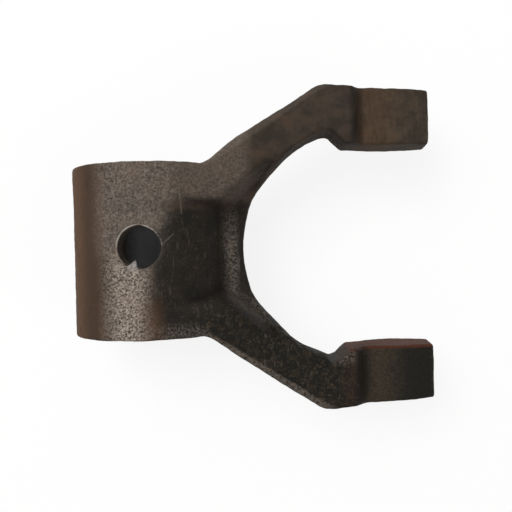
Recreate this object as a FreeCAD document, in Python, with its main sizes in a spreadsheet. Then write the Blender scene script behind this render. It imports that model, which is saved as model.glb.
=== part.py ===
import FreeCAD, Part
import math
import os
import Sketcher

# Clutch fork: one casting that slides on a cross shaft and straddles a release bearing.
# Millimetres and degrees. The origin is the middle of the hub, on the shaft's line.
# The shaft runs along Y, the two fingers reach along +X, and +Z is the fork's ribbed front.

SIZES = [
    # hub
    ("hub_diameter", 50.8),
    ("hub_length", 56.0),
    ("hub_edge_round", 0.6),
    ("shaft_bore", 28.6),
    ("bore_chamfer", 0.8),
    ("pin_hole", 13.5),
    ("pin_hole_offset", 1.2),
    ("pin_hole_round", 0.5),
    # arms, seen from the side
    ("ramp_inset", 0.12),
    ("arm_slope", 4.0),
    ("arm_drop", 10.6),
    ("arm_back", 4.5),
    ("knee_reach", 43.8),
    ("knee_round", 60.0),
    ("flare_gap", 2.1),
    ("flare_angle", 45.0),
    ("flare_round", 8.0),
    # arms, seen from the front
    ("root_inset", 0.8),
    ("root_reach", 20.0),
    ("root_round", 9.0),
    ("splay_angle", 33.6),
    ("crest_round", 8.0),
    ("side_taper", 2.8),
    ("edge_round", 1.0),
    # web between the arms
    ("web_drop", 21.0),
    ("web_reach", 6.6),
    ("recess_width", 23.6),
    ("recess_start", 2.8),
    ("recess_angle", 42.5),
    ("recess_draft", 13.8),
    ("recess_corner", 10.0),
    ("recess_run", 12.6),
    ("recess_bend", 20.0),
    ("recess_gap", 5.7),
    ("recess_round", 2.5),
    ("rib_round", 3.5),
    # throat
    ("throat_radius", 39.1),
    ("shoulder_gap", 2.4),
    ("shoulder_angle", 45.0),
    ("shoulder_outer_round", 2.0),
    ("shoulder_inner_round", 3.0),
    # fingers
    ("finger_gap", 66.4),
    ("finger_reach", 94.8),
    ("finger_spread", 102.0),
    ("step_reach", 68.7),
    ("step_angle", 60.0),
    ("step_round", 2.2),
    ("valley_round", 3.0),
    ("step_drop", 3.8),
    ("front_crown_share", 0.0775),
    ("back_crown_gap", 1.8),
    ("back_crown_share", 0.152),
    ("back_crown_round", 4.0),
    ("end_draft", 5.0),
    ("end_round", 0.7),
    # how far the cutting outlines run past the casting
    ("cut_margin", 3.0),
]

SIZE = dict(SIZES)
FAILED_STATES = ("Invalid", "Error")


def vector(x, y, z=0.0):
    return FreeCAD.Vector(x, y, z)


def make_sheet(doc):
    """The sheet of driving sizes, one named cell each."""
    sheet = doc.addObject("Spreadsheet::Sheet", "Sheet")
    for row, (name, number) in enumerate(SIZES, start=1):
        sheet.set(f"A{row}", name)
        sheet.set(f"B{row}", str(number))
        sheet.setAlias(f"B{row}", name)
    return sheet


class Outline:
    """A closed outline on one of the body's planes, drawn side by side and then dimensioned."""

    def __init__(self, body, name, role):
        plane = [f for f in body.Origin.OriginFeatures if f.Role == role][0]
        self.sketch = body.newObject("Sketcher::SketchObject", name)
        self.sketch.AttachmentSupport = [(plane, "")]
        self.sketch.MapMode = "FlatFace"
        self.ends = []

    def line(self, start, end):
        """A straight side, which returns its number."""
        side = Part.LineSegment(vector(*start), vector(*end))
        self.ends.append((1, 2))
        return self.sketch.addGeometry(side, False)

    def arc(self, centre, start, end, clockwise=True):
        """A round side from start to end."""
        first, last = (end, start) if clockwise else (start, end)
        angles = [math.atan2(p[1] - centre[1], p[0] - centre[0]) for p in (first, last)]
        circle = Part.Circle(vector(*centre), vector(0, 0, 1), math.dist(centre, start))
        self.ends.append((2, 1) if clockwise else (1, 2))
        return self.sketch.addGeometry(Part.ArcOfCircle(circle, *angles), False)

    def close(self, smooth=()):
        """Joins each side's end to the next side's start, smoothly after the sides named."""
        count = len(self.ends)
        for side in range(count):
            after = (side + 1) % count
            joint = "Tangent" if side in smooth else "Coincident"
            self.rule(joint, side, self.ends[side][1], after, self.ends[after][0])

    def rule(self, *what):
        self.sketch.addConstraint(Sketcher.Constraint(*what))

    def size(self, name, formula, *what):
        """A dimension with a name, driven by a formula on the sheet."""
        number = self.sketch.addConstraint(Sketcher.Constraint(*what))
        self.sketch.renameConstraint(number, name)
        self.sketch.setExpression(f"Constraints.{name}", formula)

    def place(self, name, side, end, x=None, y=None):
        """Dimensions one point from the origin: x and y are (value, formula)."""
        if x is not None:
            self.size(f"{name}_x", x[1], "DistanceX", -1, 1, side, end, x[0])
        if y is not None:
            self.size(f"{name}_y", y[1], "DistanceY", -1, 1, side, end, y[0])


def cells(text):
    """Writes a formula on the sheet's cells: every word in braces is a cell's name."""
    return text.replace("{", "Sheet.").replace("}", "")


# Points that several steps need, worked out from the sizes

def tangent(degrees):
    return math.tan(math.radians(degrees))


def step_from(spot, angle, length):
    return (spot[0] + length * math.cos(angle), spot[1] + length * math.sin(angle))


# Places that follow from the sizes, each with the formula that drives it in the document

HUB_RADIUS = SIZE["hub_diameter"] / 2
CUT_REACH = SIZE["finger_reach"] + SIZE["cut_margin"]
ARM_FRONT = HUB_RADIUS - SIZE["arm_drop"]
WEB_FRONT = HUB_RADIUS - SIZE["web_drop"]
THROAT_CENTRE = HUB_RADIUS + SIZE["web_reach"] + SIZE["throat_radius"]
SHOULDER_REACH = SIZE["step_reach"] - SIZE["shoulder_gap"]
RECESS_END = SIZE["step_reach"] - SIZE["recess_gap"]
ARM_FRONT_CELL = "({hub_diameter} / 2 - {arm_drop})"
WEB_FRONT_CELL = "({hub_diameter} / 2 - {web_drop})"
THROAT_CENTRE_CELL = "({hub_diameter} / 2 + {web_reach} + {throat_radius})"


def crown_radius(chord, share):
    """The radius of an arc that rises by this share of its chord."""
    return chord * (1 + 4 * share**2) / (8 * share)


def side_points():
    """The corners of the arm as seen along the shaft: (along X, along Z)."""
    s = SIZE
    edge = (s["step_reach"], ARM_FRONT)
    knee = (s["knee_reach"], ARM_FRONT + (edge[0] - s["knee_reach"]) * tangent(s["arm_slope"]))
    # the ramp leaves the knee so that it just grazes a circle a little inside the hub
    along = HUB_RADIUS - s["ramp_inset"]
    turn = math.atan2(knee[0], knee[1]) - math.acos(along / math.hypot(*knee))
    start = (along * math.sin(turn), along * math.cos(turn))
    # the finger's front, crowned between the step and the end
    chord = s["finger_reach"] - s["step_reach"]
    front_radius = crown_radius(chord, s["front_crown_share"])
    front = (s["step_reach"] + chord / 2, ARM_FRONT - s["step_drop"] - front_radius)
    corner = (s["finger_reach"], ARM_FRONT - s["step_drop"] - chord * s["front_crown_share"])
    # the finger's back, crowned between its toe and its heel
    toe = (s["step_reach"] + s["back_crown_gap"], -s["arm_back"])
    heel = (s["finger_reach"] + (corner[1] + s["arm_back"]) * tangent(s["end_draft"]), -s["arm_back"])
    chord = heel[0] - toe[0]
    back_radius = crown_radius(chord, s["back_crown_share"])
    back = (toe[0] + chord / 2, back_radius - s["arm_back"] - chord * s["back_crown_share"])
    # where the step's wall runs down into the front crown
    cosine, sine = math.cos(math.radians(s["step_angle"])), math.sin(math.radians(s["step_angle"]))
    dx, dz = edge[0] - front[0], edge[1] - front[1]
    half = dx * cosine - dz * sine
    drop = -half - math.sqrt(half**2 - dx**2 - dz**2 + front_radius**2)
    valley = (edge[0] + drop * cosine, edge[1] - drop * sine)
    # the flare that thickens the web into the hub, to halfway down the hub's back
    bend = (HUB_RADIUS + s["flare_gap"], -s["arm_back"])
    foot_z = -HUB_RADIUS / 2
    foot = (bend[0] + (foot_z - bend[1]) / tangent(s["flare_angle"]), foot_z)
    return {
        "start": start,
        "knee": knee,
        "edge": edge,
        "valley": valley,
        "corner": corner,
        "heel": heel,
        "toe": toe,
        "bend": bend,
        "foot": foot,
        "under": (start[0], foot_z),
        "front_centre": front,
        "back_centre": back,
    }


def plan_points():
    """The corners of one arm as seen from the front: (along X, along Y)."""
    s = SIZE
    root = (s["root_reach"], s["hub_length"] / 2 - s["root_inset"])
    tip = (CUT_REACH, s["finger_spread"] / 2)
    splay, taper = tangent(s["splay_angle"]), tangent(s["side_taper"])
    crest_x = (tip[1] + tip[0] * taper - root[1] + root[0] * splay) / (splay + taper)
    crest = (crest_x, root[1] + (crest_x - root[0]) * splay)
    shoulder = (SHOULDER_REACH, s["finger_gap"] / 2)
    # where the shoulder's wall runs back into the throat's arc
    angle = math.radians(s["shoulder_angle"])
    dx = shoulder[0] - THROAT_CENTRE
    half = -dx * math.cos(angle) + shoulder[1] * math.sin(angle)
    back = -half + math.sqrt(half**2 - dx**2 - shoulder[1] ** 2 + s["throat_radius"] ** 2)
    meet = (shoulder[0] - back * math.cos(angle), shoulder[1] + back * math.sin(angle))
    return {"root": root, "crest": crest, "tip": tip, "shoulder": shoulder, "meet": meet}


def draw_side(body):
    """The arm's outline as seen along the shaft, from inside the hub to the finger's end."""
    p = side_points()
    side = Outline(body, "side_outline", "XZ_Plane")
    buried = side.line(p["under"], p["start"])
    ramp = side.line(p["start"], p["knee"])
    arm = side.line(p["knee"], p["edge"])
    wall = side.line(p["edge"], p["valley"])
    front = side.arc(p["front_centre"], p["valley"], p["corner"])
    end = side.line(p["corner"], p["heel"])
    back = side.arc(p["back_centre"], p["heel"], p["toe"])
    under = side.line(p["toe"], p["bend"])
    flare = side.line(p["bend"], p["foot"])
    shut = side.line(p["foot"], p["under"])
    side.close()
    side.rule("Vertical", buried)
    side.rule("Horizontal", under)
    side.rule("Horizontal", shut)
    knee_z = f"({ARM_FRONT_CELL} + ({{step_reach}} - {{knee_reach}}) * tan({{arm_slope}} * 1 deg))"
    along = "({hub_diameter} / 2 - {ramp_inset})"
    turn = f"(atan({{knee_reach}} / {knee_z}) - acos({along} / sqrt({{knee_reach}}^2 + {knee_z}^2)))"
    side.place(
        "ramp_start", ramp, 1,
        (p["start"][0], cells(f"{along} * sin{turn}")),
        (p["start"][1], cells(f"{along} * cos{turn}")),
    )
    side.place("knee", arm, 1, (p["knee"][0], cells("{knee_reach}")), (p["knee"][1], cells(knee_z)))
    side.place("edge", wall, 1, (p["edge"][0], cells("{step_reach}")), (p["edge"][1], cells(ARM_FRONT_CELL)))
    side.size("step_angle", cells("-{step_angle} * 1 deg"), "Angle", wall, -math.radians(SIZE["step_angle"]))
    chord = "({finger_reach} - {step_reach})"
    radius = f"({chord} * (1 + 4 * {{front_crown_share}}^2) / (8 * {{front_crown_share}}))"
    middle, height = p["front_centre"]
    side.size("front_radius", cells(radius), "Radius", front, ARM_FRONT - SIZE["step_drop"] - height)
    side.place(
        "front_crown", front, 3,
        (middle, cells(f"{{step_reach}} + {chord} / 2")),
        (height, cells(f"{ARM_FRONT_CELL} - {{step_drop}} - {radius}")),
    )
    side.place("finger_end", end, 1, (p["corner"][0], cells("{finger_reach}")))
    lean = math.radians(SIZE["end_draft"]) - math.pi / 2
    side.size("end_draft", cells("({end_draft} - 90) * 1 deg"), "Angle", end, lean)
    # the back crown's chord is the front's, longer by the end's draft and shorter by the gap
    drop = f"({ARM_FRONT_CELL} - {{step_drop}} - {chord} * {{front_crown_share}} + {{arm_back}})"
    chord = f"({chord} + {drop} * tan({{end_draft}} * 1 deg) - {{back_crown_gap}})"
    radius = f"({chord} * (1 + 4 * {{back_crown_share}}^2) / (8 * {{back_crown_share}}))"
    middle, height = p["back_centre"]
    rise = (p["heel"][0] - p["toe"][0]) * SIZE["back_crown_share"]
    side.size("back_radius", cells(radius), "Radius", back, height + SIZE["arm_back"] + rise)
    side.place(
        "back_crown", back, 3,
        (middle, cells(f"{{step_reach}} + {{back_crown_gap}} + {chord} / 2")),
        (height, cells(f"{radius} - {{arm_back}} - {chord} * {{back_crown_share}}")),
    )
    bend_x, bend_z = p["bend"]
    bend_place = (bend_x, cells("{hub_diameter} / 2 + {flare_gap}"))
    side.place("flare", flare, 1, bend_place, (bend_z, cells("-{arm_back}")))
    turn = math.radians(180 + SIZE["flare_angle"])
    side.size("flare_angle", cells("(180 + {flare_angle}) * 1 deg"), "Angle", flare, turn)
    side.place("flare_foot", flare, 2, None, (p["foot"][1], cells("-{hub_diameter} / 4")))
    return side.sketch


def draw_flank(body):
    """What is cut away outside one arm: beside the hub's root, the splay and the finger."""
    p = plan_points()
    splay_lean, taper_lean = math.radians(SIZE["splay_angle"]), math.radians(SIZE["side_taper"])
    root_leg = SIZE["root_round"] * math.tan(splay_lean / 2)
    crest_leg = SIZE["crest_round"] * math.tan((splay_lean + taper_lean) / 2)
    before_root = (p["root"][0] - root_leg, p["root"][1])
    after_root = step_from(p["root"], splay_lean, root_leg)
    before_crest = step_from(p["crest"], splay_lean, -crest_leg)
    after_crest = step_from(p["crest"], -taper_lean, crest_leg)
    crest_centre = step_from(before_crest, splay_lean - math.pi / 2, SIZE["crest_round"])
    high = SIZE["finger_spread"] / 2 + CUT_REACH * tangent(SIZE["side_taper"])
    flank = Outline(body, "flank_outline", "XY_Plane")
    root = flank.line((0, p["root"][1]), before_root)
    hollow_centre = (before_root[0], before_root[1] + SIZE["root_round"])
    hollow = flank.arc(hollow_centre, before_root, after_root, clockwise=False)
    splay = flank.line(after_root, before_crest)
    crest = flank.arc(crest_centre, before_crest, after_crest)
    outer = flank.line(after_crest, p["tip"])
    far = flank.line(p["tip"], (CUT_REACH, high))
    top = flank.line((CUT_REACH, high), (0, high))
    near = flank.line((0, high), (0, p["root"][1]))
    flank.close(smooth=(root, hollow, splay, crest))
    flank.rule("Horizontal", root)
    flank.rule("Horizontal", top)
    flank.rule("Vertical", far)
    flank.rule("Vertical", near)
    flank.rule("PointOnObject", root, 1, -2)
    flank.place(
        "root", root, 2,
        (before_root[0], cells("{root_reach} - {root_round} * tan({splay_angle} / 2 * 1 deg)")),
        (before_root[1], cells("{hub_length} / 2 - {root_inset}")),
    )
    flank.size("root_round", cells("{root_round}"), "Radius", hollow, SIZE["root_round"])
    flank.size("crest_round", cells("{crest_round}"), "Radius", crest, SIZE["crest_round"])
    flank.size("splay_angle", cells("{splay_angle} * 1 deg"), "Angle", splay, splay_lean)
    flank.size("side_taper", cells("-{side_taper} * 1 deg"), "Angle", outer, -taper_lean)
    flank.place(
        "tip", outer, 2,
        (CUT_REACH, cells("{finger_reach} + {cut_margin}")),
        (p["tip"][1], cells("{finger_spread} / 2")),
    )
    # the cut runs out past the widest place that the side's taper can reach
    clear = cells("{finger_spread} / 2 + ({finger_reach} + {cut_margin}) * tan({side_taper} * 1 deg)")
    flank.place("clear", top, 1, None, (high, clear))
    return flank.sketch


def draw_throat(body):
    """Half of what is cut away between the arms: the round throat and the gap of the fingers."""
    p = plan_points()
    centre = (THROAT_CENTRE, 0)
    deepest = (centre[0] - SIZE["throat_radius"], 0)
    gap_end = (CUT_REACH, p["shoulder"][1])
    throat = Outline(body, "throat_outline", "XY_Plane")
    arc = throat.arc(centre, deepest, p["meet"])
    slant = throat.line(p["meet"], p["shoulder"])
    inner = throat.line(p["shoulder"], gap_end)
    far = throat.line(gap_end, (CUT_REACH, 0))
    middle = throat.line((CUT_REACH, 0), deepest)
    throat.close()
    throat.rule("Horizontal", inner)
    throat.rule("Vertical", far)
    throat.rule("Horizontal", middle)
    throat.rule("PointOnObject", middle, 2, -1)
    throat.rule("PointOnObject", arc, 3, -1)
    throat.size("throat_radius", cells("{throat_radius}"), "Radius", arc, SIZE["throat_radius"])
    throat.place("throat_centre", arc, 3, (centre[0], cells(THROAT_CENTRE_CELL)))
    throat.place(
        "shoulder", inner, 1,
        (p["shoulder"][0], cells("{step_reach} - {shoulder_gap}")),
        (p["shoulder"][1], cells("{finger_gap} / 2")),
    )
    lean = -math.radians(SIZE["shoulder_angle"])
    throat.size("shoulder_angle", cells("-{shoulder_angle} * 1 deg"), "Angle", slant, lean)
    throat.place("gap_end", inner, 2, (CUT_REACH, cells("{finger_reach} + {cut_margin}")))
    return throat.sketch


def draw_recess(body):
    """Half of the recess between the arms' roots, at the level of the web."""
    half, inner, outer = SIZE["recess_width"] / 2, SIZE["recess_corner"], SIZE["recess_bend"]
    lean = math.radians(SIZE["recess_angle"])
    turn = (HUB_RADIUS - SIZE["recess_start"], half)
    leave = (turn[0] + inner * math.sin(lean), half + inner * (1 - math.cos(lean)))
    # the slanted side runs out into the throat and turns parallel to the fingers there
    run_x = HUB_RADIUS + SIZE["recess_run"]
    run = (run_x, leave[1] + (run_x - leave[0]) * math.tan(lean))
    centre = (run[0] + outer * math.sin(lean), run[1] - outer * math.cos(lean))
    level = (centre[0], centre[1] + outer)
    far = RECESS_END
    recess = Outline(body, "recess_outline", "XY_Plane")
    near = recess.line((0, 0), (0, half))
    flat = recess.line((0, half), turn)
    corner = recess.arc((turn[0], half + inner), turn, leave, clockwise=False)
    slant = recess.line(leave, run)
    bend = recess.arc(centre, run, level)
    straight = recess.line(level, (far, level[1]))
    end = recess.line((far, level[1]), (far, 0))
    middle = recess.line((far, 0), (0, 0))
    recess.close(smooth=(flat, corner, slant, bend))
    recess.rule("Coincident", near, 1, -1, 1)
    recess.rule("Vertical", near)
    recess.rule("Horizontal", flat)
    recess.rule("Horizontal", straight)
    recess.rule("Vertical", end)
    recess.rule("Horizontal", middle)
    turn_place = (turn[0], cells("{hub_diameter} / 2 - {recess_start}"))
    recess.place("turn", flat, 2, turn_place, (half, cells("{recess_width} / 2")))
    recess.size("recess_corner", cells("{recess_corner}"), "Radius", corner, inner)
    recess.size("recess_angle", cells("{recess_angle} * 1 deg"), "Angle", slant, lean)
    recess.place("run", slant, 2, (run[0], cells("{hub_diameter} / 2 + {recess_run}")))
    recess.size("recess_bend", cells("{recess_bend}"), "Radius", bend, outer)
    recess.place("recess_end", end, 1, (far, cells("{step_reach} - {recess_gap}")))
    recess.sketch.setExpression("AttachmentOffset.Base.z", cells(WEB_FRONT_CELL))
    return recess.sketch


def draw_circle(body, name, role, formula, diameter, height=None):
    """A circle on the origin, or moved up the sketch by height, a (value, formula)."""
    hoop = Outline(body, name, role)
    centre = vector(0, 0 if height is None else height[0])
    circle = Part.Circle(centre, vector(0, 0, 1), diameter / 2)
    hoop.sketch.addGeometry(circle, False)
    if height is None:
        hoop.rule("Coincident", 0, 3, -1, 1)
    else:
        hoop.rule("PointOnObject", 0, 3, -2)
        hoop.size("height", height[1], "DistanceY", -1, 1, 0, 3, height[0])
    hoop.size("diameter", formula, "Diameter", 0, diameter)
    return hoop.sketch


def feature(body, kind, name, profile, **settings):
    """A pad or pocket of a profile. A setting given as text is a formula."""
    made = body.newObject(f"PartDesign::{kind}", name)
    made.Profile = profile
    for key, setting in settings.items():
        if isinstance(setting, str) and key not in ("Type", "SideType"):
            made.setExpression(key, setting)
        else:
            setattr(made, key, setting)
    body.Document.recompute()
    return made


def dress(body, kind, name, base, edges, **settings):
    """A fillet or chamfer on named edges of the feature before it."""
    if not edges:
        raise RuntimeError(f"{name}: no edge found")
    made = body.newObject(f"PartDesign::{kind}", name)
    made.Base = (base, edges)
    for key, setting in settings.items():
        made.setExpression(key, setting)
    body.Document.recompute()
    if any(state in made.State for state in FAILED_STATES):
        raise RuntimeError(f"{name} failed on {edges}")
    return made


def middle_of(edge):
    return edge.valueAt((edge.FirstParameter + edge.LastParameter) / 2)


def edges_at(shape, spots, axes):
    """The straight edge nearest to each spot, looking along the third axis."""
    first, second = axes
    along = ({0, 1, 2} - {first, second}).pop()
    straight = {}
    for n, edge in enumerate(shape.Edges, start=1):
        ends = [vertex.Point for vertex in edge.Vertexes]
        if len(ends) == 2 and edge.Curve.TypeId == "Part::GeomLine":
            run = ends[1] - ends[0]
            if abs(run[along]) > 0.9 * run.Length:
                straight[n] = middle_of(edge)
    found = []
    for spot in spots:
        def gap(n):
            return math.hypot(straight[n][first] - spot[0], straight[n][second] - spot[1])
        found.append(f"Edge{min(straight, key=gap)}")
    return found


def bend_of(shape, edge, owners):
    """Degrees that the surface turns at an edge: above 0 at a ridge, below 0 in a corner."""
    faces = owners[edge.hashCode()]
    if len(faces) != 2:
        return 0.0
    spot = middle_of(edge)
    normals = [face.normalAt(*face.Surface.parameter(spot)) for face in faces]
    turn = math.degrees(normals[0].getAngle(normals[1]))
    if turn < 2:
        return 0.0
    step = (normals[0] - normals[1]).normalize() * 0.02
    inside = shape.isInside(spot + step, 1e-6, False)
    return -turn if inside else turn


def bends(shape):
    """Each edge's bend in degrees, by edge number."""
    owners = {}
    for face in shape.Faces:
        for edge in face.Edges:
            owners.setdefault(edge.hashCode(), []).append(face)
    return {n: bend_of(shape, edge, owners) for n, edge in enumerate(shape.Edges, start=1)}


def turned(shape, low, high, test):
    """Names of the edges where the surface turns by low to high degrees, ridges above 0."""
    return [
        f"Edge{n}" for n, bend in bends(shape).items()
        if low < bend < high and test(middle_of(shape.Edges[n - 1]))
    ]


def mirrored(body, name, cuts):
    """The same cuts on the other side of the fork's middle plane."""
    made = body.newObject("PartDesign::Mirrored", name)
    made.Originals = cuts
    made.MirrorPlane = ([f for f in body.Origin.OriginFeatures if f.Role == "XZ_Plane"][0], [""])
    body.Tip = made
    body.Document.recompute()
    return made


def rims(shape, radius, height, tolerance=0.01):
    """The round edges of one radius, centred on the shaft's line at height along it."""
    found = []
    for n, edge in enumerate(shape.Edges, start=1):
        if edge.Curve.TypeId == "Part::GeomCircle" and abs(edge.Curve.Radius - radius) < tolerance:
            centre = edge.Curve.Center
            if abs(abs(centre.y) - height) < tolerance and math.hypot(centre.x, centre.z) < tolerance:
                found.append(f"Edge{n}")
    return found


def build_blank(body, p):
    """The two arms as one bar, rounded where its outline bends and recessed between the ribs."""
    last = feature(
        body, "Pad", "arm_blank", draw_side(body),
        SideType="Symmetric",
        Length=cells("{finger_spread} + 2 * {finger_reach} * tan({side_taper} * 1 deg)"),
    )
    corners = {"knee": "knee", "step": "edge", "valley": "valley", "back_crown": "toe", "flare": "bend"}
    for name, corner in corners.items():
        edges = edges_at(last.Shape, [p[corner]], (0, 2))
        last = dress(body, "Fillet", f"{name}_bend", last, edges, Radius=cells(f"{{{name}_round}}"))
    recess = feature(
        body, "Pocket", "recess_cut", draw_recess(body),
        Type="Length",
        Length=cells("{web_drop}"),
        Reversed=True,
        TaperAngle=cells("{recess_draft}"),
    )
    last = mirrored(body, "both_recess_sides", [recess])
    floor, within = WEB_FRONT, RECESS_END - 0.5
    creases = turned(last.Shape, -100, -40, lambda m: abs(m.z - floor) < 0.1 and m.x < within)
    last = dress(body, "Fillet", "recess_crease", last, creases, Radius=cells("{recess_round}"))
    crests = turned(last.Shape, 40, 80, lambda m: m.z > floor + SIZE["recess_round"] and m.x < within)
    return dress(body, "Fillet", "rib_crests", last, crests, Radius=cells("{rib_round}"))


def build_arms(body, p, q):
    """The bar cut to the arms' outline from the front, then its edges rounded like a casting's."""
    flank = feature(body, "Pocket", "flank_cut", draw_flank(body), Type="ThroughAll", SideType="Symmetric")
    throat = feature(body, "Pocket", "throat_cut", draw_throat(body), Type="ThroughAll", SideType="Symmetric")
    last = mirrored(body, "both_arms", [flank, throat])
    for name, corner in (("shoulder_inner", "meet"), ("shoulder_outer", "shoulder")):
        x, y = q[corner]
        edges = edges_at(last.Shape, [(x, y), (x, -y)], (0, 1))
        last = dress(body, "Fillet", f"{name}_bend", last, edges, Radius=cells(f"{{{name}_round}}"))
    # edges well inside the hub, where the arms start, stay as they are
    root, end = HUB_RADIUS - 2, p["corner"][0] - 0.2

    def is_contour(m):
        return math.hypot(m.x, m.z) > root and p["start"][0] + 0.1 < m.x < end

    contour = turned(last.Shape, 40, 140, is_contour)
    last = dress(body, "Fillet", "contour_edges", last, contour, Radius=cells("{edge_round}"))
    ends = turned(last.Shape, 40, 140, lambda m: m.x > end)
    return dress(body, "Fillet", "finger_ends", last, ends, Radius=cells("{end_round}"))


def build_hub(body):
    """The hub round the shaft, its bore, and the locking pin's hole across it."""
    round_section = draw_circle(body, "hub_circle", "XZ_Plane", cells("{hub_diameter}"), SIZE["hub_diameter"])
    last = feature(body, "Pad", "hub", round_section, SideType="Symmetric", Length=cells("{hub_length}"))
    half = SIZE["hub_length"] / 2
    edges = rims(last.Shape, HUB_RADIUS, half)
    last = dress(body, "Fillet", "hub_rims", last, edges, Radius=cells("{hub_edge_round}"))
    bore = draw_circle(body, "bore_circle", "XZ_Plane", cells("{shaft_bore}"), SIZE["shaft_bore"])
    last = feature(body, "Pocket", "bore", bore, Type="ThroughAll", SideType="Symmetric")
    mouths = rims(last.Shape, SIZE["shaft_bore"] / 2, half)
    last = dress(body, "Chamfer", "bore_mouths", last, mouths, Size=cells("{bore_chamfer}"))
    offset = (SIZE["pin_hole_offset"], cells("{pin_hole_offset}"))
    pin = draw_circle(body, "pin_circle", "XY_Plane", cells("{pin_hole}"), SIZE["pin_hole"], offset)
    last = feature(
        body, "Pocket", "pin_bore", pin,
        Type="Length", Length=cells("{hub_diameter} / 2 + {cut_margin}"), Reversed=True,
    )
    near, wide = HUB_RADIUS - 4, SIZE["pin_hole"]

    def is_mouth(m):
        return m.z > near and abs(m.x) < wide and abs(m.y) < wide

    edges = turned(last.Shape, 40, 140, is_mouth)
    return dress(body, "Fillet", "pin_mouths", last, edges, Radius=cells("{pin_hole_round}"))


def build_fork(doc):
    """The casting: a bar cut to the shape of the arms, then joined to its bored hub."""
    body = doc.addObject("PartDesign::Body", "clutch_fork")
    body.Label = "clutch_fork"
    p, q = side_points(), plan_points()
    steps = [build_blank(body, p), build_arms(body, p, q), build_hub(body)]
    for step in steps:
        print(step.Name, round(step.Shape.Volume), "cubic mm")
    return body


def main():
    os.makedirs("parts", exist_ok=True)
    doc = FreeCAD.newDocument("clutch_fork")
    make_sheet(doc)
    doc.recompute()
    body = build_fork(doc)
    doc.recompute()
    for made in doc.Objects:
        if any(state in made.State for state in FAILED_STATES):
            raise RuntimeError(f"{made.Name} is {made.State}")
    if body.Shape.isNull() or not body.Shape.isValid():
        raise RuntimeError("clutch_fork has no valid shape")
    body.Shape.exportStep("parts/clutch_fork.step")
    print("clutch_fork", round(body.Shape.Volume), "cubic mm", body.Shape.BoundBox)


main()
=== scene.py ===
# %% [markdown]
# # A cast clutch fork
#
# The real object is one lump of cast iron: a bored hub that sits on a shaft, and two ribbed arms
# that spread round an open throat and end in crowned fingers. It has been oily, rusty and knocked
# about for years. The exact form comes from the solid model, so this lesson is about the skin:
# what sand casting, wear, grease and rust do to it.

# %% Load the solid model
import math

import bpy
import numpy as np
from mathutils import Matrix, Vector, noise


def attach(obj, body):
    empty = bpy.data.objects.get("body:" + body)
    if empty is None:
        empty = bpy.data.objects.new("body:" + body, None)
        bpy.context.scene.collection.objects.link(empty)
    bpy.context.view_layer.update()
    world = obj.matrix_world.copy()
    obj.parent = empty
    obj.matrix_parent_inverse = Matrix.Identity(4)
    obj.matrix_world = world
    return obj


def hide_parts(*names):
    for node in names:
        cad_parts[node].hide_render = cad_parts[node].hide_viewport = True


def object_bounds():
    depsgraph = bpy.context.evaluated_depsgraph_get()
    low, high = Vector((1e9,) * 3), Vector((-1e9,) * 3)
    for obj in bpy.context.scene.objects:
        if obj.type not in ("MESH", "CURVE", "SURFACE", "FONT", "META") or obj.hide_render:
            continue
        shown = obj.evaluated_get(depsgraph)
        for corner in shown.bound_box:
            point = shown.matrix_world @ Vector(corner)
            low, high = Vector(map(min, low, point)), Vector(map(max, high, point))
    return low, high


MM = 0.001

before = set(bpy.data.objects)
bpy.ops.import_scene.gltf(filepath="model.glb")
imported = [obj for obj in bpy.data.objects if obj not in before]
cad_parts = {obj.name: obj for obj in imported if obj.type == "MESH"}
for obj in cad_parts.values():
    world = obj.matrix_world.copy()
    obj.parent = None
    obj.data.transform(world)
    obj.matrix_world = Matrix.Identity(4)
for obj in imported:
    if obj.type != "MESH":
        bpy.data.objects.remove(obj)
solid_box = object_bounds()
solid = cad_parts["clutch_fork"]
print("solid", [round(side / MM, 1) for side in solid_box[1] - solid_box[0]], "mm")

# %% [markdown]
# ## Places on the fork
#
# Everything below is placed in millimetres from a few sizes of the fork: the shaft runs along Y
# through the origin, the fingers point along +X, and +Z is the ribbed front. The hub's radius is
# read from the solid. The cross hole and the round throat are known from the drawing, because
# they would be hard to find among the solid's facets.

# %% Measure the solid
solid_points = np.array([vertex.co for vertex in solid.data.vertices]) / MM
HUB_RADIUS = solid_points[:, 2].max()
PIN_Y, PIN_RADIUS = 1.2, 6.75
THROAT_X, THROAT_RADIUS = 71.1, 39.1
print("hub radius", round(HUB_RADIUS, 2), "cross hole", PIN_RADIUS, "throat", THROAT_RADIUS, "mm")

# %% [markdown]
# ## The skin
#
# A casting has no true edges and no true flats. Bevels would only soften the edges, so a voxel
# remesh is used instead: it turns the solid's long thin facets into an even net of small quads,
# which can then be pushed about point by point. Smoothing the net a little rounds every edge as a
# worn sand mould does.

# %% Remesh the solid into an even skin
VOXEL = 0.605 * MM
SMOOTHING_PASSES = 1


def even_skin(source, voxel, name):
    """A copy of the source as an even net of quads."""
    skin = bpy.data.objects.new(name, source.data.copy())
    bpy.context.scene.collection.objects.link(skin)
    remesh = skin.modifiers.new("even", "REMESH")
    remesh.mode = "VOXEL"
    remesh.voxel_size = voxel
    depsgraph = bpy.context.evaluated_depsgraph_get()
    net = bpy.data.meshes.new_from_object(skin.evaluated_get(depsgraph))
    skin.modifiers.clear()
    skin.data = net
    net.name = name
    return skin


fork = even_skin(solid, VOXEL, "casting")
print("net", len(fork.data.vertices), "points", len(fork.data.polygons), "faces")

# %% [markdown]
# Moving a hundred thousand points one by one in Python is slow, so they are read into one table,
# worked on together and written back in one go.

# %% Read, smooth and write the net


def table_of(items, field, columns, kind=np.float32):
    """A field of a mesh's points or edges, one row for each."""
    flat = np.empty(len(items) * columns, kind)
    items.foreach_get(field, flat)
    return flat.reshape(-1, columns)


def place_points(mesh, points):
    """Moves the mesh's points to these places in millimetres."""
    mesh.vertices.foreach_set("co", (points * MM).astype(np.float32).ravel())
    mesh.update()


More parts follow.
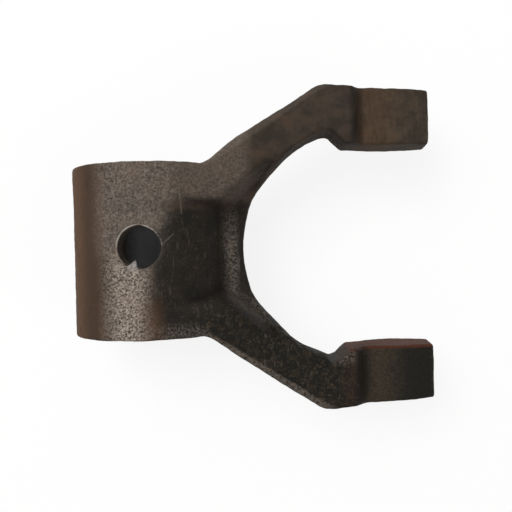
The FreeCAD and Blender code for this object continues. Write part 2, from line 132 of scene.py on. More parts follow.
def smoothed(points, edges, passes):
    """Each point moved halfway to the mean of its neighbours, again and again."""
    degree = np.bincount(edges.ravel(), minlength=len(points)).astype(float)[:, None]
    for _ in range(passes):
        total = np.zeros_like(points)
        np.add.at(total, edges[:, 0], points[edges[:, 1]])
        np.add.at(total, edges[:, 1], points[edges[:, 0]])
        points = (points + total / degree) / 2
    return points


edges = table_of(fork.data.edges, "vertices", 2, np.int32)
points = table_of(fork.data.vertices, "co", 3).astype(float)
points = smoothed(points, edges, SMOOTHING_PASSES) / MM
place_points(fork.data, points)
normals = table_of(fork.data.vertex_normals, "vector", 3).astype(float)
print("smoothed", len(points), "points along", len(edges), "edges")

# %% [markdown]
# ## Where metal stands proud and where it lies back
#
# Painted highlights on ridges, and grease with painted shade in corners, both depend on how the
# surface bends. Comparing each point with a well smoothed copy of the net tells how far it stands
# out (a ridge, which can take a painted highlight) or lies back (a corner, which takes grease and
# painted shade). The result is kept on the mesh for the material to read.

# %% Measure ridges and corners
RELIEF_PASSES = 40
RELIEF_SPAN = 0.5

relief = np.einsum("ij,ij->i", points - smoothed(points, edges, RELIEF_PASSES), normals)
ridge = np.clip(relief / RELIEF_SPAN, 0, 1)
corner = np.clip(-relief / RELIEF_SPAN, 0, 1)
print("relief", round(relief.min(), 2), "to", round(relief.max(), 2), "mm")

# %% [markdown]
# ## Cast texture in the net
#
# Sand leaves slow waves and a grain, and rust eats shallow pits. The waves, the coarse grain and
# the pits are real dents here, because they show along the outline; the fine grain is left to a
# bump in the material, where it needs no more points. The pits come in patches, as rust does.

# %% Push the net about
WAVE_LENGTH, WAVE_HEIGHT = 9.0, 0.16
GRAIN_LENGTH, GRAIN_HEIGHT = 2.2, 0.10
PIT_SPACING, PIT_SIZE, PIT_DEPTH, PIT_SHARPNESS = 3.4, 1.2, 0.30, 1.5
PATCH_LENGTH, PATCH_LEVEL, PATCH_CONTRAST = 14.0, 0.4, 1.6
WAVE_SEED, GRAIN_SEED, PIT_SEED, PATCH_SEED = 3.1, 7.7, 5.2, 9.4


def waves(places, length, seed):
    """Smooth noise from -1 to 1 with lumps of this length."""
    shift = Vector((seed, seed * 1.7, -seed))
    return np.array([noise.noise(Vector(p) / length + shift) for p in places])


def pits(places, spacing, size, seed):
    """1 at the middle of scattered pits of this size, 0 between them."""
    shift = Vector((seed, -seed, seed * 0.6))
    gap = np.array([noise.voronoi(Vector(p) / spacing + shift)[0][0] for p in places]) * spacing
    return np.clip(1 - gap / size, 0, 1) ** PIT_SHARPNESS


height = WAVE_HEIGHT * waves(points, WAVE_LENGTH, WAVE_SEED)
height += GRAIN_HEIGHT * waves(points, GRAIN_LENGTH, GRAIN_SEED)
rusted = PATCH_LEVEL + waves(points, PATCH_LENGTH, PATCH_SEED) * PATCH_CONTRAST
pitted = pits(points, PIT_SPACING, PIT_SIZE, PIT_SEED) * np.clip(rusted, 0, 1)
height -= PIT_DEPTH * pitted
print("waves and pits", round(height.min(), 2), "to", round(height.max(), 2), "mm")

# %% [markdown]
# ## Flanks that are fuller than drawn
#
# Sand moves when iron is poured, so the arms came out a millimetre or so fuller than drawn on
# their outer flanks, most of all near the hub on the upper arm, and a little leaner where the
# upper arm bends into its finger. Each rule is a product of simple shares from 0 to 1: where
# along the arm a point lies, and which way the surface faces there.

# %% Fill out the arms' flanks
FLANK_FACING, FACING_FADE = (-0.55, 0.83), (0.5, 1.0)
FLANK_Y = 20.0
ARM_STARTS, ARM_ENDS = (23.0, 31.0), (64.0, 56.0)
ROOT_FADE = (48.0, 28.0)
# millimetres along the whole flank, and millimetres more at its root
UPPER_FULL, LOWER_FULL = (0.5, 0.9), (0.9, -0.5)
BEND_X, BEND_WIDTH, BEND_LEAN, BEND_FACING = 63.0, 6.0, 0.35, 0.6


def ramp(values, start, end):
    """0 at start, 1 at end and a straight line between them, whichever is the larger."""
    return np.clip((values - start) / (end - start), 0, 1)


def hump(values, middle, width):
    """1 at the middle, fading like a bell over this width."""
    return np.exp(-(((values - middle) / width) ** 2))


px, py = points[:, 0], points[:, 1]
upper = py > 0
outward = normals[:, 1] * np.sign(py) * FLANK_FACING[1] + normals[:, 0] * FLANK_FACING[0]
along_arm = ramp(px, *ARM_STARTS) * ramp(px, *ARM_ENDS)
near_root = ramp(px, *ROOT_FADE)
share = np.where(upper, UPPER_FULL[0] + UPPER_FULL[1] * near_root,
                 LOWER_FULL[0] + LOWER_FULL[1] * near_root)
fuller = share * along_arm * ramp(outward, *FACING_FADE) * (np.abs(py) > FLANK_Y)
fuller -= BEND_LEAN * hump(px, BEND_X, BEND_WIDTH) * (normals[:, 1] > BEND_FACING)
print("flanks", round(fuller.min(), 2), "to", round(fuller.max(), 2), "mm")

# %% [markdown]
# The throat isn't a true circle either. Its wall bulges in three places on each side, given by the
# angle round the throat from its deepest point, and differently on the upper and the lower arm.

# %% Bend the throat's wall
WALL_REACH = 1.2
THROAT_HUMPS = (
    # degrees, width in degrees, mm on the upper arm, mm on the lower arm
    (43.0, 11.0, 0.5, 1.1),
    (69.0, 9.0, -0.35, 0.55),
    (23.0, 7.0, -0.35, -0.35),
)

from_centre = np.hypot(px - THROAT_X, py)
round_throat = np.degrees(np.arctan2(np.abs(py), THROAT_X - px))
on_wall = np.abs(from_centre - THROAT_RADIUS) < WALL_REACH
for degrees, width, above, below in THROAT_HUMPS:
    fuller += np.where(upper, above, below) * on_wall * hump(round_throat, degrees, width)
print("with the throat", round(fuller.min(), 2), "to", round(fuller.max(), 2), "mm")

# %% [markdown]
# ## Casting flash and knocks
#
# Bits of old flash make the lower arm's throat edge ragged, and the cross hole's rim is chipped
# where a pin was driven in and out. Each is a small round push of the net: flash goes straight
# out of the surface, chips go down from the front. A sculpting brush does the same, but written
# down it gives the same result every time.

# %% Roughen the throat's edge and chip the hole's rim
FLASH_LEVELS = (14.5, 10.0)
FLASH_SPREAD = 1.3
FLASH = (
    # x, y, radius and height in mm
    (43.6, -27.6, 1.8, 0.5),
    (47.6, -30.6, 2.6, 0.8),
    (51.6, -33.2, 2.0, 1.2),
    (54.0, -34.4, 1.6, 0.8),
    (57.4, -36.0, 2.4, 1.1),
)
CHIPS = (
    # degrees round the hole, mm outside its wall, radius and depth in mm
    (222, 0.3, 2.4, 0.9),
    (20, 0.2, 1.6, 0.5),
    (295, 0.2, 1.8, 0.6),
)


def dab(places, centre, radius):
    """1 at the centre, fading smoothly to 0 at the radius."""
    gap = np.linalg.norm(places - np.array(centre), axis=1) / radius
    return np.clip(1 - gap**2, 0, 1) ** 2


def on_pin_rim(degrees, out):
    """A point of the hub's front beside the cross hole, this far outside its wall."""
    angle = math.radians(degrees)
    reach = PIN_RADIUS + out
    rim_x, rim_y = reach * math.cos(angle), PIN_Y + reach * math.sin(angle)
    return (rim_x, rim_y, math.sqrt(HUB_RADIUS**2 - rim_x**2))


flash = np.zeros(len(points))
for flash_x, flash_y, radius, proud in FLASH:
    for level in FLASH_LEVELS:
        flash += proud * dab(points, (flash_x, flash_y, level), radius * FLASH_SPREAD)

chips = np.zeros(len(points))
for degrees, out, radius, depth in CHIPS:
    chips += depth * dab(points, on_pin_rim(degrees, out), radius)

skin = points + normals * (height + flash + fuller)[:, None]
skin[:, 2] -= chips
print("flash", round(flash.max(), 2), "mm proud, chips", round(chips.max(), 2), "mm deep")

# %% [markdown]
# At the hole's lower left a lip of metal has been driven over, so those points go towards the
# hole's middle and down a little. The upper finger also came out of the mould slightly short.

# %% Drive a lip over the hole and shorten the upper finger
LIP_REACH, LIP_DROP = 3.1, 1.5
LIP_DEGREES, LIP_OUT, LIP_RADIUS = 253, 0.2, 2.3
FINGER_SHORT, SHORT_FROM, SHORT_TO = 0.35, 88.0, 93.0

lip_push = dab(points, on_pin_rim(LIP_DEGREES, LIP_OUT), LIP_RADIUS)
inwards = np.array([0, PIN_Y]) - points[:, :2]
inwards /= np.linalg.norm(inwards, axis=1)[:, None]
skin[:, :2] += inwards * (LIP_REACH * lip_push)[:, None]
skin[:, 2] -= LIP_DROP * lip_push
skin[:, 0] -= FINGER_SHORT * ramp(skin[:, 0], SHORT_FROM, SHORT_TO) * (skin[:, 1] > 0)
print("lip moves", int((lip_push > 0).sum()), "points")

# %% [markdown]
# The fork keeps its measured size: whatever the noise pushes out of the solid's box is brought back
# to it, as a surface plate would show on the real hub. The masks for the material are stored on
# the points, and smooth shading hides the facets of the net.

# %% Keep the skin inside the solid's box
low, high = (np.array(corner_point) / MM for corner_point in solid_box)
skin = np.clip(skin, low, high)
place_points(fork.data, skin)
for name, values in (("ridge", ridge), ("corner", corner), ("pitted", pitted)):
    layer = fork.data.attributes.new(name, "FLOAT", "POINT")
    layer.data.foreach_set("value", values.astype(np.float32))
fork.data.polygons.foreach_set("use_smooth", np.ones(len(fork.data.polygons), bool))
print("skin box", (skin.max(0) - skin.min(0)).round(1), "mm")

# %% [markdown]
# ## Writing materials as sums
#
# A material is a small calculation done at every point of the surface. Drawing its nodes by hand
# gets lost in wires, so a socket is wrapped in a class that lets the calculation be written like
# ordinary arithmetic: each operator adds the node that does it.

# %% A socket that can do arithmetic


class Value:
    """One number of the surface, such as a mask, that adds Math nodes as it is worked with."""

    def __init__(self, shader, socket):
        self.shader, self.socket = shader, socket

    def _with(self, operation, first, second, clamp=False):
        settings = {"operation": operation, "use_clamp": clamp}
        node = self.shader.node("ShaderNodeMath", settings, [first, second])
        return Value(self.shader, node.outputs[0])

    def __add__(self, other):
        return self._with("ADD", self, other)

    def __radd__(self, other):
        return self._with("ADD", other, self)

    def __sub__(self, other):
        return self._with("SUBTRACT", self, other)

    def __rsub__(self, other):
        return self._with("SUBTRACT", other, self)

    def __mul__(self, other):
        return self._with("MULTIPLY", self, other)

    def __rmul__(self, other):
        return self._with("MULTIPLY", other, self)

    def clipped(self):
        """The same value kept between 0 and 1."""
        return self._with("ADD", self, 0.0, clamp=True)

    def between(self, low, high):
        """0 at low, 1 at high and a smooth step between them."""
        settings = {"interpolation_type": "SMOOTHSTEP"}
        node = self.shader.node("ShaderNodeMapRange", settings, [self, low, high, 0.0, 1.0])
        return Value(self.shader, node.outputs[0])


# %% [markdown]
# The second class holds the node tree itself, of a material or of the world. Colour goes on in
# coats, as with paint: each coat has a colour and a mask that says where it lies.

# %% A node tree that takes coats of colour


class Shader:
    """The node tree of a material or of the world."""

    def __init__(self, owner, surface="Principled BSDF"):
        owner.use_nodes = True
        self.tree = owner.node_tree
        self.surface = self.tree.nodes[surface]
        self.colour = None

    def node(self, kind, settings=None, sockets=()):
        """Adds a node: its settings first, then the values or links of its sockets."""
        node = self.tree.nodes.new(kind)
        for key, setting in (settings or {}).items():
            setattr(node, key, setting)
        pairs = sockets.items() if isinstance(sockets, dict) else enumerate(sockets)
        for key, given in pairs:
            self.feed(node.inputs[key], given)
        return node

    def feed(self, socket, given):
        """Puts a number, a colour or another node's output on a socket."""
        given = given.socket if isinstance(given, Value) else given
        if isinstance(given, bpy.types.NodeSocket):
            self.tree.links.new(given, socket)
        else:
            socket.default_value = given

    def attribute(self, name):
        """A value stored on the mesh."""
        node = self.node("ShaderNodeAttribute", {"attribute_name": name})
        return Value(self, node.outputs["Fac"])

    def grain(self, place, per_mm, detail=3.0, roughness=0.6):
        """Cloudy noise from 0 to 1, with this many lumps to the millimetre."""
        sockets = {"Vector": place, "Scale": per_mm, "Detail": detail, "Roughness": roughness}
        node = self.node("ShaderNodeTexNoise", None, sockets)
        return Value(self, node.outputs["Fac"])

    def coat(self, colour, share):
        """Lays one more coat of colour where share is 1; the Mix node keeps it from 0 to 1."""
        node = self.node("ShaderNodeMix", {"data_type": "RGBA", "clamp_factor": True})
        self.feed(node.inputs["Factor"], share)
        self.feed(node.inputs[6], self.colour)
        self.feed(node.inputs[7], colour)
        self.colour = node.outputs[2]


# %% [markdown]
# ## Old oily iron
#
# The colour is built from the metal outwards: near-black scale, a brown film of old rust and oil,
# rust where water sat, pale dust caught in the rough skin, and grease. The film, the dust and a
# near-white also paint light; a darker brown, the oil and the grease also paint shade. The colours
# are written as they look on a screen and turned into the linear light that shaders work in.

# %% The palette


def paint(red, green, blue):
    """A colour given as it looks, from 0 to 255, in the linear form that shaders use."""
    def linear(level):
        level /= 255
        return level / 12.92 if level <= 0.04045 else ((level + 0.055) / 1.055) ** 2.4
    return (linear(red), linear(green), linear(blue), 1.0)


SCALE = paint(44, 38, 33)
# old film, which also paints light on the upper arm's root
OLD_FILM_AND_LIGHT = paint(66, 56, 47)
BROWN_RUST = paint(87, 60, 40)
# a darker brown for painted shade
SHADE_BROWN = paint(55, 41, 29)
RED_RUST = paint(80, 42, 26)
# pale dust, also used for painted highlights
DUST_AND_HIGHLIGHT = paint(172, 158, 146)
WORN = paint(98, 97, 96)
GREY_FILM = paint(158, 160, 164)
# a near-white for painted highlights on the cross hole's rim
RIM_HIGHLIGHT = paint(206, 202, 194)
OLIVE = paint(110, 99, 76)
# oil, also used for painted shade in the recess
OIL_AND_SHADE = paint(22, 21, 17)
# grease, also used for painted shade in creases, valleys and the cross hole
GREASE_AND_SHADE = paint(14, 13, 12)
print("scale in linear light", [round(level, 4) for level in SCALE[:3]])

# %% [markdown]
# ## Grain at several sizes
#
# Real dirt has no single size. Slow noise makes blotches, medium noise ragged borders, and fine
# noise the speckle of sand grains and pores. It is laid out in millimetres of the object itself,
# so it stays put from every side and needs no unwrapping.

# %% Coordinates and grain
SCORING = (1.1, 0.2, 0.6)

iron_material = bpy.data.materials.new("old_oily_iron")
iron = Shader(iron_material)
coordinates = iron.node("ShaderNodeTexCoord").outputs["Object"]
to_mm = iron.node("ShaderNodeVectorMath", {"operation": "SCALE"}, {0: coordinates, "Scale": 1 / MM})
place = to_mm.outputs[0]
split = iron.node("ShaderNodeSeparateXYZ", None, [place])
x, y, z = (Value(iron, socket) for socket in split.outputs)
ridges, creases, pit_mask = (iron.attribute(name) for name in ("ridge", "corner", "pitted"))

mottle = iron.grain(place, 0.18)
patches = iron.grain(place, 0.45, detail=2.0)
speckle = iron.grain(place, 1.3, detail=4.0, roughness=0.8)
pores = iron.grain(place, 1.9, detail=1.0)
flecks = iron.grain(place, 1.15, detail=1.5)
fine = iron.grain(place, 3.0, detail=2.0)
drawn_out = iron.node("ShaderNodeVectorMath", {"operation": "MULTIPLY"}, [place, SCORING])
streaks = iron.grain(drawn_out.outputs[0], 1.0, detail=2.0)
print("grain done,", len(iron.tree.nodes), "nodes so far")

# %% [markdown]
# ## Places as masks
#
# A mask is 1 where a coat lies and 0 elsewhere. Painting masks by hand would need a picture, but
# this fork's dirt follows its shape, so each mask is a band of X, Y or Z in millimetres with soft
# borders: the numbers below are where a band starts and ends. Where a real border is ragged, some
# noise is added to the coordinate first.

# %% Halves and sides


def inside(value, low, high, soft):
    """1 between low and high, falling to 0 over a soft edge on either side."""
    return value.between(low - soft, low + soft) * (1 - value.between(high - soft, high + soft))


RAGGED_MM = 5.0

ragged = (patches - 0.5) * RAGGED_MM
facing = z.between(12.0, 17.0)
back = 1 - z.between(-8.0, 3.0)
lower = 1 - y.between(-8.0, 0.0)
lower_half = 1 - y.between(-7.0, 6.0)
print("halves done,", len(iron.tree.nodes), "nodes so far")

# %% [markdown]
# The hub's front carries a band of dust that is also a painted highlight, thin above the cross
# hole and thick below it. Its far side is rusty with a band of painted shade along its edge, its
# bore is worn by the shaft, and the dust has rusted at its lower right.

# %% Places on the hub
# squares of 14.4 and 14.7 mm, just outside the bore's wall
BORE_WALL = (208.0, 216.0)

from_axis = x * x + z * z
bore = 1 - from_axis.between(*BORE_WALL)
hub_side = (1 - x.between(-17.5, -8.5)) * z.between(-22.0, -2.0)
# painted shade: a band along the hub's side, where its surface turns away from the light
side_shade = inside(x, -19.0, -13.0, 2.4)
# the band across the hub's front is dust and a painted highlight together
dust_and_highlight_upper = inside(x, -13.0, 9.0, 4.0) * facing * (1 - lower_half)
highlight_band_end = 1 - (x + ragged * 0.2).between(-2.0, 6.4)
dust_and_highlight_lower = x.between(-15.0, -4.5) * highlight_band_end * facing * lower_half
rust_spot = inside(x, 0.5, 7.0, 2.5) * (1 - y.between(-18.0, -12.0)) * facing
lower_rim = (1 - y.between(-26.0, -22.0)) * inside(x, 4.0, 20.0, 3.0) * z.between(6.0, 15.0)
print("hub done,", len(iron.tree.nodes), "nodes so far")

# %% [markdown]
# Oil has run from a line beside the cross hole over the recess and down the lower arm; over the
# recess beside the hub the same dark coat is also painted shade. Above a slanting border the metal
# stayed dry. Inside the recess the thin web's edge and the foot of the lower rib have dried out
# again and show a gravelly speckle.

# %% Places of the oil and its painted shade, and in the recess
RIB_ACROSS = (0.594, 0.804)

past_line = (x + ragged * 0.3).between(2.5, 8.0)
below_slant = 1 - (y - x + ragged).between(-2.5, 3.5)
below_rib = 1 - (y + ragged * (0.4 + back * 3.0)).between(13.0, 16.5)
# oil, and painted shade over the recess beside the hub
oil_and_shade_zone = past_line * (below_slant * below_rib) * (1 - inside(y, 13.0, 60.0, 1.0) * (1 - back))
web_depth = (1 - z.between(6.5, 9.0)) * z.between(2.0, 4.0)
web = inside(x, 24.4, 30.2, 0.9) * web_depth * inside(y, -19.0, 17.0, 4.0)
web = web * (1 - 0.35 * y.between(-2.0, 10.0))
over_rib = inside(x * RIB_ACROSS[0] + y * RIB_ACROSS[1], 3.2, 7.0, 0.8)
gravel = inside(x, 26.5, 40.0, 2.0) * over_rib * (1 - y.between(-13.0, -9.0))
print("oil and recess done,", len(iron.tree.nodes), "nodes so far")

# %% [markdown]
# The upper arm's root is painted lighter, a pool of painted light with a dusty speckle, and the
# arm is plain brown further out. The lower arm is black, with a painted highlight along its outer
# edge. A small valley with painted shade comes before each finger, and the lower finger's working
# face, which rubs on the bearing, is red with fresh rust. A little of it has spread to the step
# behind.

# %% Places on the arms and fingers
EDGE_SLOPE, EDGE_OFFSET = 0.66, 11.0

root_reach = inside(x + ragged * back * 2.0, 8.0, 34.5, 2.5)
# painted light: the upper arm's root is made lighter, as where light falls on it
upper_root_light = root_reach * y.between(14.0, 17.5) * (1 - back * 0.8)
upper_arm = y.between(16.0, 22.0) * x.between(26.0, 36.0)
lower_arm = inside(x, 16.0, 68.0, 3.0) * (1 - y.between(-24.0, -16.0))
outer_line = x * EDGE_SLOPE + EDGE_OFFSET
outer_edge = inside(x, 20.0, 60.0, 5.0) * (y * y - outer_line * outer_line).between(0.0, 80.0)
# painted shade in the valley before each finger, where its wall faces away from the light
valley_shade = inside(x, 67.8, 72.6, 1.2) * z.between(4.0, 8.0)
finger = x.between(68.5, 71.5)
upper_finger = finger * (1 - lower)
finger_end = (x + ragged * 0.8).between(76.0, 88.0) * (1 - 0.6 * x.between(93.0, 95.0))
shoulder = inside(x, 60.5, 68.5, 1.5) * inside(y, -38.0, -31.5, 1.5)
working_face = x.between(60.0, 66.0) * inside(y, -34.0, -31.5, 0.4) * lower
faint_step = inside(x, 64.0, 68.5, 1.0) * inside(y, -52.0, -32.0, 2.0) * 0.13
inner_face = (working_face + faint_step).clipped()
print("arms and fingers done,", len(iron.tree.nodes), "nodes so far")

# %% [markdown]
# The cross hole has a thin rim with a painted highlight at its upper side, walls painted dark as
# shade, the driven lip, and the bore's grey far wall showing at its bottom.

# %% Places at the cross hole
RIM_WIDTH, RIM_SOFT = 0.45, 1.6
# squares of 24.5 and 24.9 mm, just inside the hub's front
HUB_FRONT = (600.0, 622.0)
LIP_X, LIP_Y = -2.0, -4.4

from_hole = y - PIN_Y
hole_gap = x * x + from_hole * from_hole
rim_ring = inside(hole_gap, PIN_RADIUS**2, (PIN_RADIUS + RIM_WIDTH) ** 2, RIM_SOFT)
rim = rim_ring * from_axis.between(*HUB_FRONT)
hole_wall = 1 - hole_gap.between(PIN_RADIUS**2 - 2.0, (PIN_RADIUS + 0.15) ** 2)
hole_wall = hole_wall * z.between(13.0, 15.0)
lip_gap = (x - LIP_X) * (x - LIP_X) + (y - LIP_Y) * (y - LIP_Y)
lip = (1 - lip_gap.between(0.8, 5.0)) * facing
under_hole = inside(x, -8.0, 8.0, 3.0) * inside(y, -7.0, 9.0, 3.0) * (1 - z.between(-4.0, 0.0))
print("cross hole done,", len(iron.tree.nodes), "nodes so far")

# %% [markdown]
# Two scratches cross the oil's border. A straight mark needs two coordinates, one along it and one
# across it, which come from the direction between its ends.

# %% Scratches
SCRATCH_WIDTH = 0.30


def scratch(start, end, width):
    """A thin straight mark on the front, between two places in millimetres."""
    (x0, y0), (x1, y1) = start, end
    length = math.hypot(x1 - x0, y1 - y0)
    ux, uy = (x1 - x0) / length, (y1 - y0) / length
    along = (x - x0) * ux + (y - y0) * uy
    across = (y - y0) * ux - (x - x0) * uy
    return inside(along, 0.0, length, 0.5) * (1 - (across * across).between(0.0, width * width))


beside_hole = scratch((6.9, 1.6), (10.6, 5.1), SCRATCH_WIDTH)
above_recess = scratch((12.8, 18.6), (13.3, 11.4), SCRATCH_WIDTH)
scratches = (beside_hole + above_recess) * facing
print("scratches done,", len(iron.tree.nodes), "nodes so far")

# %% [markdown]
# ## Coats of colour
#
# First the iron itself: black scale under a brown film that has worn unevenly, and brown rust on
# the hub's side and the fingers. More film on the upper arm's root is painted light, and a darker
# brown along the hub's side is painted shade.

# %% Scale, film and brown rust
iron.colour = SCALE
# the film's share on the upper arm's root is painted light
film_and_light = mottle.between(0.36, 0.62) * 0.7 + upper_arm * 0.3 + upper_root_light * 0.5
iron.coat(OLD_FILM_AND_LIGHT, film_and_light)
brown = hub_side * (0.72 + 0.26 * speckle) + finger * (1 - finger_end) * 0.35
iron.coat(BROWN_RUST, brown + mottle.between(0.55, 0.75) * 0.3)
# painted shade along the hub's side, in a darker brown
iron.coat(SHADE_BROWN, side_shade * 0.75)
print("iron and rust done,", len(iron.tree.nodes), "nodes so far")

# %% [markdown]
# Dust lies on the grains and not in the pores between them, so its share follows the speckle:
# softly above the cross hole, with hard dark pores below it. Across the hub's front and the upper
# arm's root this pale coat is also painted light, brightest below the hole.

# %% Dust and painted highlight, then oil and painted shade over it
upper_share = (dust_and_highlight_upper * 0.44 + upper_root_light * 0.22) * (0.35 + 1.3 * patches)
upper_dust_and_highlight = upper_share * speckle.between(0.28, 0.72)
lower_dust_and_highlight = dust_and_highlight_lower * (0.80 + 0.40 * patches) * speckle.between(0.36, 0.64)
# painted highlight on the ridges along the arms' outer edges
edge_highlight = outer_edge * ridges.between(0.55, 1.10)
iron.coat(DUST_AND_HIGHLIGHT, upper_dust_and_highlight + lower_dust_and_highlight + hub_side * 0.03 + edge_highlight * 0.08)
# oil over the lower arm, and painted shade over the recess beside the hub
oil_and_shade = oil_and_shade_zone * (0.60 + 0.25 * patches + 0.30 * lower_arm) + lower * finger * finger_end * 0.28
oil_and_shade = oil_and_shade.clipped()
iron.coat(OIL_AND_SHADE, oil_and_shade)
print("dust and oil done,", len(iron.tree.nodes), "nodes so far")

# %% [markdown]
# On top of the oil lie the pale marks of use: streaks where it was wiped, dry speckle at the web
# and the shoulder, and scratches. They are laid in one coat of the same dust, which also paints
# highlights on the cross hole's rim and along the lower arm's outer edge.

# %% Wiped streaks, dry spots and painted edge highlights
wiped = streaks.between(0.58, 0.80) * 0.11 + flecks.between(0.56, 0.76) * 0.06
wiped = oil_and_shade_zone * (1 - finger) * wiped
dry_web = web * speckle.between(0.40, 0.60) * 0.27
dry_stones = (gravel + shoulder) * speckle.between(0.42, 0.58) * 0.20
# painted highlight on the cross hole's rim, strongest at its upper left
rim_light = rim * (0.10 + 0.90 * (from_hole - x).between(3.0, 8.0))
marks_and_rim_highlight = rim_light * 0.60 + scratches * 0.13 + lower_rim * speckle.between(0.45, 0.60) * 0.25
# painted highlight along the lower arm's outer edge
lower_edge_highlight = edge_highlight * lower * speckle.between(0.35, 0.60) * 0.30
iron.coat(DUST_AND_HIGHLIGHT, wiped + (dry_web + dry_stones) + marks_and_rim_highlight + lower_edge_highlight)
print("marks done,", len(iron.tree.nodes), "nodes so far")

# %% [markdown]
# Old oil turns olive where it dries, on the lower arm and the fingers. Rust goes over it: flat
# brown patches on the arm, red on the working face, and a brown stain in the dust of the hub.

# %% Dried oil and fresh rust
olive = lower_arm * (flecks.between(0.50, 0.74) * 0.10 + patches.between(0.46, 0.66) * 0.04)
finger_share = finger * lower * (1 - finger_end * 0.8)
olive = olive + finger_share * (0.01 + 0.17 * speckle.between(0.35, 0.65))
iron.coat(OLIVE, olive)
upper_olive = streaks.between(0.45, 0.70) * 0.12 + speckle.between(0.45, 0.65) * 0.08
iron.coat(OLIVE, upper_finger * upper_olive)
iron.coat(BROWN_RUST, lower_arm * patches.between(0.46, 0.62) * 0.09)
iron.coat(RED_RUST, inner_face * (0.72 + 0.28 * patches.between(0.35, 0.6)))
iron.coat(BROWN_RUST, rust_spot * (0.15 + 0.35 * patches))
print("dried oil and rust done,", len(iron.tree.nodes), "nodes so far")

# %% [markdown]
# Grease and black dirt collect where a rag doesn't reach, in the pits and the larger pores. The
# same dark coat is grease and painted shade in the creases, more on the lower half, and painted
# shade alone in the valley before the fingers and in the cross hole.

# %% Grease, and painted shade in the corners
dark_pores = pores.between(0.60, 0.72) * (0.15 + 0.35 * dust_and_highlight_upper + 0.75 * dust_and_highlight_lower)
# grease with painted shade in the creases, darker on the lower half
crease_grease_and_shade = creases * (0.20 + 0.40 * lower_half)
# painted shade on the cross hole's walls
hole_shade = hole_wall * 0.6 * (1 - lip)
grease_and_shade = crease_grease_and_shade + valley_shade * 0.4 + hole_shade + pit_mask * 0.5 + dark_pores
grease_and_shade = grease_and_shade.clipped()
iron.coat(GREASE_AND_SHADE, grease_and_shade)
print("grease done,", len(iron.tree.nodes), "nodes so far")

# %% [markdown]
# A painted highlight lies on the upper side of the cross hole's rim, with painted glints at its
# upper right, and a grey film lies on the lip. The bore is scored along the shaft and has a grey
# film of dust under the hole.

# %% Painted highlight on the rim, and the bore
# painted highlight and glints on the upper side of the rim
upper_left = (from_hole - x).between(6.5, 9.0)
upper_right = (from_hole + x).between(7.0, 9.0) * speckle.between(0.44, 0.56)
iron.coat(RIM_HIGHLIGHT, rim * (upper_left * 0.50 + upper_right * 0.60))
iron.coat(GREY_FILM, lip * 0.30)
iron.coat(WORN, bore)
iron.coat(OLD_FILM_AND_LIGHT, bore * streaks.between(0.40, 0.68) * 0.55)
iron.coat(GREY_FILM, bore * under_hole * (0.72 - x * 0.03))
iron.feed(iron.surface.inputs["Base Color"], iron.colour)
print("colour done,", len(iron.tree.nodes), "nodes so far")

# %% [markdown]
# ## Gloss and grain
#
# Rusty iron hardly shines. Oil and grease smooth it a little, so they lower the roughness, and the
# sand's grain is too fine for the net, so it is a bump.

# %% Gloss and grain
ROUGHNESS, METALLIC, SPECULAR = 0.80, 0.15, 0.18
GRAIN_STRENGTH, GRAIN_DEPTH = 0.8, 0.4 * MM

iron.feed(iron.surface.inputs["Roughness"], ROUGHNESS - 0.12 * oil_and_shade - 0.10 * grease_and_shade)
iron.feed(iron.surface.inputs["Metallic"], METALLIC)
iron.feed(iron.surface.inputs["Specular IOR Level"], SPECULAR)
lumps = speckle * 0.55 + fine * 0.30 + pores * -0.35
bump_sockets = {"Strength": GRAIN_STRENGTH, "Distance": GRAIN_DEPTH, "Height": lumps}
bump = iron.node("ShaderNodeBump", None, bump_sockets)
iron.feed(iron.surface.inputs["Normal"], bump.outputs[0])
fork.data.materials.clear()
fork.data.materials.append(iron_material)
print("iron done,", len(iron.tree.nodes), "nodes so far")

# %% [markdown]
# ## Hang it on the frame
#
# The skin takes the solid's place in the picture and rides on the part's only body.

# %% Take the solid's place
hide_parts("clutch_fork")
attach(fork, "root")
print("the skin", fork.name, "stands for", solid.name)

# %% [markdown]
# ## Floor, light and camera
#
# The fork is shown a few millimetres above a pale card. A card that is only lit goes grey beside
# such a dark object, so most of this one's white is a glow that only the camera sees. The rest is
# lit by the lamps and keeps the fork's faint shadow.

# %% Floor
FLOOR_SIZE, FLOOR_DROP = 4.0, 3.0
FLOOR_GLOW = 0.85
CARD_WHITE, CARD_ROUGHNESS = paint(247, 247, 247), 0.9

bpy.ops.mesh.primitive_plane_add(
    size=FLOOR_SIZE, location=(0, 0, solid_box[0].z - FLOOR_DROP * MM))
floor = bpy.context.object
floor.name = "floor"
card_material = bpy.data.materials.new("pale_card")
card = Shader(card_material)
card.feed(card.surface.inputs["Base Color"], CARD_WHITE)
card.feed(card.surface.inputs["Roughness"], CARD_ROUGHNESS)
bright = card.node("ShaderNodeEmission", None, {"Color": (1, 1, 1, 1), "Strength": 1.0})
seen = Value(card, card.node("ShaderNodeLightPath").outputs["Is Camera Ray"])
parts = [seen * FLOOR_GLOW, card.surface.outputs[0], bright.outputs[0]]
glow = card.node("ShaderNodeMixShader", None, parts)
card.feed(card.tree.nodes["Material Output"].inputs["Surface"], glow.outputs[0])
floor.data.materials.append(card_material)
print("floor", round(floor.location.z / MM, 1), "mm")

# %% [markdown]
# A large soft lamp high at the upper left makes the broad bright band along the hub, and a weaker
# one opposite opens the shadows. Both look at the middle of the fork.

# %% Lamps
FORK_MIDDLE = Vector((0.035, 0, 0))


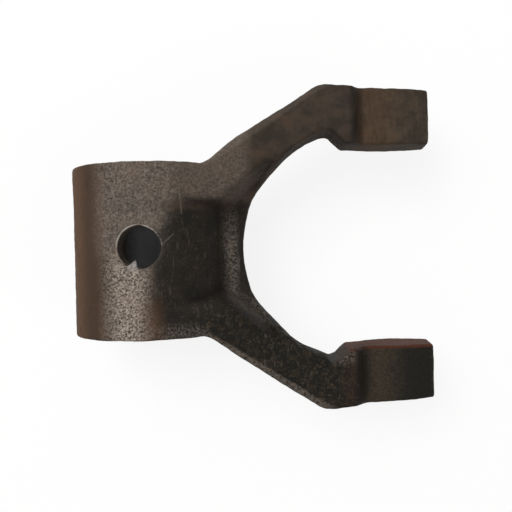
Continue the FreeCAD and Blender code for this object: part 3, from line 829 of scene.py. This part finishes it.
def soft_lamp(name, direction, distance, size, power):
    """A square soft lamp that looks at the fork from this direction."""
    lamp = bpy.data.lights.new(name, "AREA")
    lamp.shape, lamp.size, lamp.energy = "SQUARE", size, power
    holder = bpy.data.objects.new(name, lamp)
    holder.location = FORK_MIDDLE + Vector(direction).normalized() * distance
    holder.rotation_euler = (holder.location - FORK_MIDDLE).to_track_quat("Z", "Y").to_euler()
    bpy.context.scene.collection.objects.link(holder)
    print(name, power, "W at", [round(c, 2) for c in holder.location], "m")


soft_lamp("window", direction=(-0.40, 0.40, 1.0), distance=1.2, size=0.7, power=11.5)
soft_lamp("filler", direction=(0.8, -0.5, 0.8), distance=1.4, size=0.9, power=3.0)

# %% [markdown]
# The room lights the fork evenly and slightly warm. Where the camera looks past the floor it sees
# a plain white backdrop instead, which lights nothing.

# %% The room round it
ROOM_TINT, ROOM_LIGHT = (1.0, 0.985, 0.96, 1.0), 0.36
BACKDROP_WHITE, BACKDROP_LIGHT = (1.0, 1.0, 1.0, 1.0), 0.93

world = bpy.data.worlds.new("studio")
room = Shader(world, "Background")
room.feed(room.surface.inputs["Color"], ROOM_TINT)
room.feed(room.surface.inputs["Strength"], ROOM_LIGHT)
backdrop_sockets = {"Color": BACKDROP_WHITE, "Strength": BACKDROP_LIGHT}
backdrop = room.node("ShaderNodeBackground", None, backdrop_sockets)
by_camera = room.node("ShaderNodeLightPath").outputs["Is Camera Ray"]
either = room.node(
    "ShaderNodeMixShader", None, [by_camera, room.surface.outputs[0], backdrop.outputs[0]])
room.feed(room.tree.nodes["World Output"].inputs["Surface"], either.outputs[0])
bpy.context.scene.world = world
print("room", len(room.tree.nodes), "nodes")

# %% [markdown]
# The camera looks almost straight down on the fork's front, a little to the right of the hub, from
# about a quarter of a metre, so that near edges stand out over far ones. It is rolled by a little
# more than a degree, as a hand-held camera is. The picture is 512 wide and the lens is 700 of the
# same units long.

# %% Camera
CAMERA_ROLL, CAMERA_PITCH = 1.35, 0.8
CAMERA_OFFSET = Vector((36.36, -1.8, 241.5)) * MM
HALF_PICTURE, LENS_LENGTH = 256, 700
NEAREST = 0.01

roll = Matrix.Rotation(math.radians(CAMERA_ROLL), 3, "Z")
turn = roll @ Matrix.Rotation(math.radians(CAMERA_PITCH), 3, "X")
lens = bpy.data.cameras.new("camera")
lens.sensor_fit = "HORIZONTAL"
lens.angle = 2 * math.atan(HALF_PICTURE / LENS_LENGTH)
lens.clip_start = NEAREST
camera = bpy.data.objects.new("camera", lens)
back_turn = turn.transposed()
camera.matrix_world = Matrix.Translation(back_turn @ CAMERA_OFFSET) @ back_turn.to_4x4()
bpy.context.scene.collection.objects.link(camera)
bpy.context.scene.camera = camera
bpy.context.scene.view_settings.view_transform = "Standard"
print("camera at", [round(c / MM, 1) for c in camera.location], "mm")
